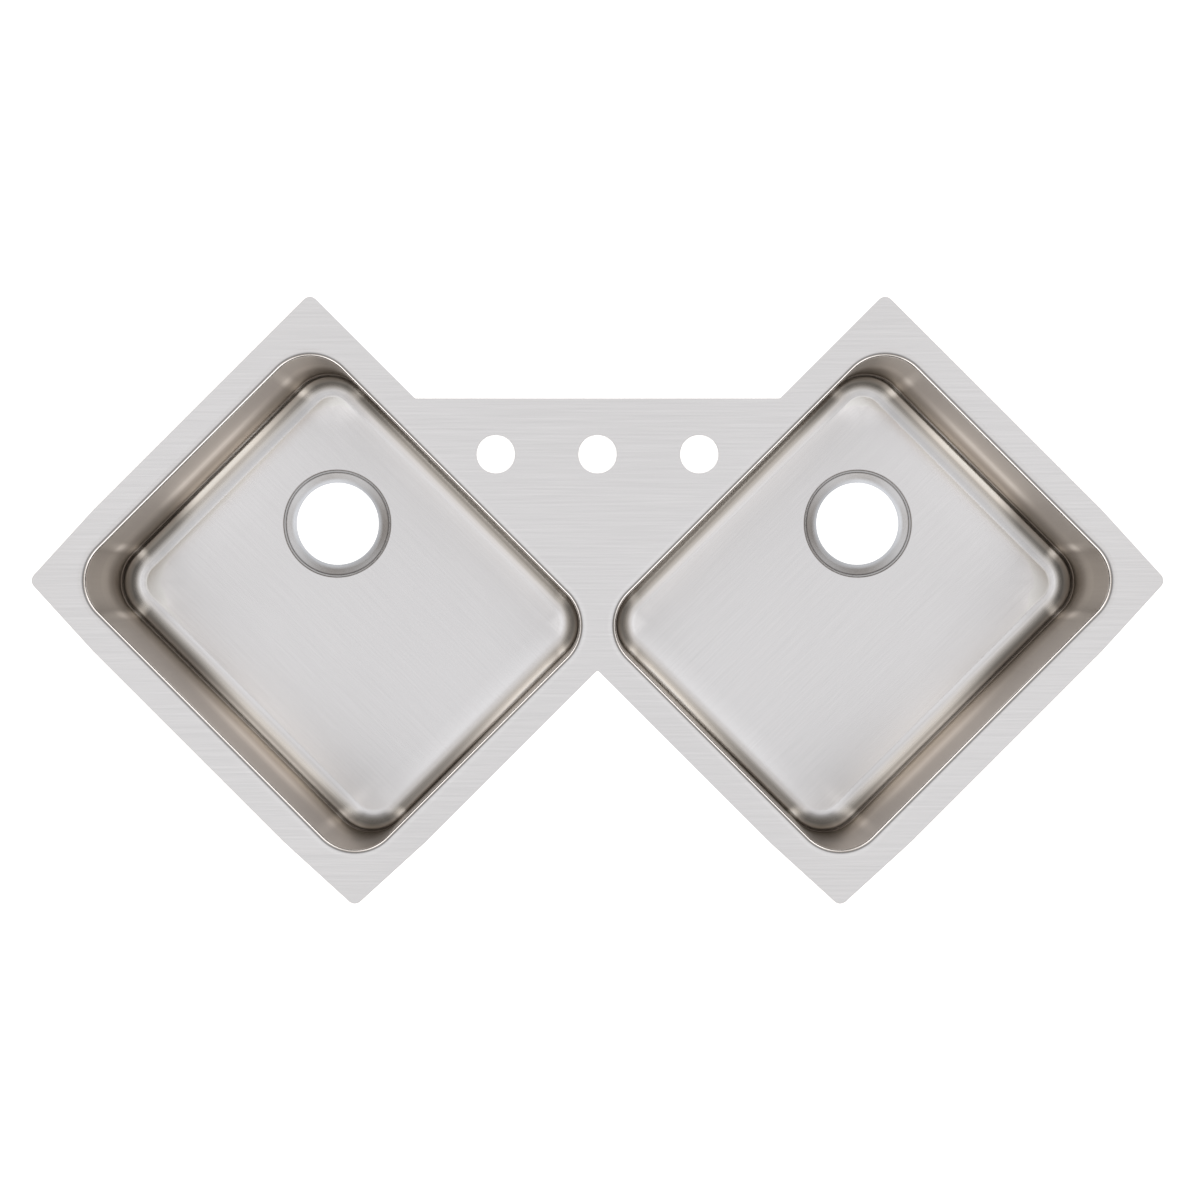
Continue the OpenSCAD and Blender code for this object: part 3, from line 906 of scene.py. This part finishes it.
padLook = {
    "pale": (0.040, 0.040, 0.042),
    "dark": (0.022, 0.022, 0.024),
    "dustScale": 25,
    "dustDetail": 5,
    "pebbleScale": 700,
    "pebbleDepth": 0.3,
    "pebbleStrength": 0.5,
    "roughness": (0.6, 0.8),
}


def padRubber():
    material, tree, shader = startMaterial("padRubber")
    look = padLook
    place = addNode(tree, "TexCoord").outputs["Object"]
    pebbles = addNode(tree, "TexVoronoi", {"Vector": place, "Scale": look["pebbleScale"]}).outputs[0]
    dust = plainNoise(tree, place, look["dustScale"], look["dustDetail"])
    tree.links.new(blendTones(tree, dust, look["dark"], look["pale"]), shader.inputs["Base Color"])
    tree.links.new(rescale(tree, dust, noiseSpan, look["roughness"]), shader.inputs["Roughness"])
    addBump(tree, shader, pebbles, look["pebbleStrength"], look["pebbleDepth"] * mm)
    return material


undersideFinish = {"weld_seam": weldSteel(), "undercoat": sprayedCoat(), "pad": padRubber()}
for name, part in frame["nodes"].items():
    for ending, finish in undersideFinish.items():
        if name.endswith(ending):
            part.data.materials.clear()
            part.data.materials.append(finish)
print("underside finished")


# Studio: pale floor, soft sky, camera straight above

studio = {
    "floorTone": (0.86, 0.86, 0.86),
    "floorSize": 14.0,
    "floorGlow": 0.88,  # makes the paper white to the camera and in the steel
}


def studioPaper():
    material = bpy.data.materials.new("studioPaper")
    material.use_nodes = True
    tree = material.node_tree
    tree.nodes.clear()
    rays = addNode(tree, "LightPath").outputs
    mirrored = mathNode(tree, "MAXIMUM", rays["Is Glossy Ray"], rays["Is Transmission Ray"])
    seen = mathNode(tree, "MAXIMUM", rays["Is Camera Ray"], mirrored)
    paper = addNode(tree, "BsdfDiffuse", {"Color": (*studio["floorTone"], 1)})
    glow = addNode(tree, "Emission", {"Strength": multiply(tree, seen, studio["floorGlow"])})
    both = addNode(tree, "AddShader", {0: paper.outputs[0], 1: glow.outputs[0]})
    addNode(tree, "OutputMaterial", {"Surface": both.outputs[0]})
    return material


def makeFloor():
    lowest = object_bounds()[0].z
    half = studio["floorSize"] / 2
    corners = [(x, y, lowest) for x, y in ((-half, -half), (half, -half), (half, half), (-half, half))]
    mesh = bpy.data.meshes.new("studioFloor")
    mesh.from_pydata(corners, [], [(0, 1, 2, 3)])
    mesh.materials.append(studioPaper())
    floor = bpy.data.objects.new("studioFloor", mesh)
    bpy.context.scene.collection.objects.link(floor)


# Sky brightness by the height of the direction: 0 is level, 1 is straight up
cornersAbove = [(0.4, (1.2, 1.14, 1.07)), (0.5, (1.2, 1.14, 1.07)), (0.6, (1.15, 1.08, 1.01)),
                (0.7, (1.0, 0.94, 0.88)), (0.78, (0.90, 0.87, 0.84)), (0.88, (1.0, 0.98, 0.96)),
                (0.99, (1.0, 1.0, 1.0))]
straightBelow = [(0.0, (0.9, 0.86, 0.81)), (0.2, (0.9, 0.86, 0.81)), (0.35, (0.52, 0.47, 0.42)),
                 (0.75, (0.42, 0.37, 0.32)), (0.88, (0.52, 0.48, 0.44))]

skyBands = {
    "frontCorners": [(0.0, (1.8, 1.72, 1.64)), (0.05, (2.5, 2.4, 2.3)), (0.2, (2.5, 2.4, 2.3)),
                     (0.3, (1.6, 1.53, 1.46)), *cornersAbove],
    "backCorners": [(0.0, (1.6, 1.52, 1.42)), (0.05, (2.2, 2.1, 2.0)), (0.2, (2.2, 2.1, 2.0)),
                    (0.3, (1.5, 1.41, 1.31)), *cornersAbove],
    "frontAndBack": [*straightBelow, (0.955, (0.80, 0.78, 0.76)), (0.985, (1.0, 1.0, 1.0))],
    "sides": [*straightBelow, (0.95, (0.80, 0.78, 0.76)), (0.972, (1.0, 1.0, 1.0))],
}
cornerAim = 0.7  # how far back a level direction into a back corner points


def makeSky():
    world = bpy.data.worlds.new("softSky")
    bpy.context.scene.world = world
    world.use_nodes = True
    tree = world.node_tree
    direction = addNode(tree, "TexCoord").outputs["Generated"]
    height = splitVector(tree, direction)["Z"]
    aim = vectorNode(tree, "NORMALIZE", vectorNode(tree, "MULTIPLY", direction, (1, 1, 0)))
    x, y = splitVector(tree, aim)[:2]
    crossed = multiply(tree, x, y, 2)
    corners = multiply(tree, crossed, crossed)
    straight = mathNode(tree, "SUBTRACT", 1, corners)
    front = rescale(tree, y, (cornerAim, -cornerAim), (0, 1))
    shares = {
        "frontCorners": multiply(tree, corners, front),
        "backCorners": multiply(tree, corners, mathNode(tree, "SUBTRACT", 1, front)),
        "frontAndBack": multiply(tree, y, y, straight),
        "sides": multiply(tree, x, x, straight),
    }
    parts = [scaled(tree, toneBands(tree, height, stops), shares[name]) for name, stops in skyBands.items()]
    total = parts[0]
    for part in parts[1:]:
        total = vectorNode(tree, "ADD", total, part)
    tree.links.new(total, tree.nodes["Background"].inputs["Color"])


cameraPlace = {
    "position": (0, 2.84, 2337.0),  # straight above the middle of the deck's outline
    "lens": 70.2,
    "sensor": 36,
    "shift": (0.00208, 0.00017),
}


def makeCamera():
    data = bpy.data.cameras.new("photoCamera")
    data.sensor_width = cameraPlace["sensor"]
    data.lens = cameraPlace["lens"]
    data.shift_x, data.shift_y = cameraPlace["shift"]
    camera = bpy.data.objects.new("photoCamera", data)
    camera.location = Vector(cameraPlace["position"]) * mm
    bpy.context.scene.collection.objects.link(camera)
    bpy.context.scene.camera = camera


makeFloor()
makeSky()
makeCamera()
bpy.context.scene.view_settings.view_transform = "Standard"
print("studio ready")
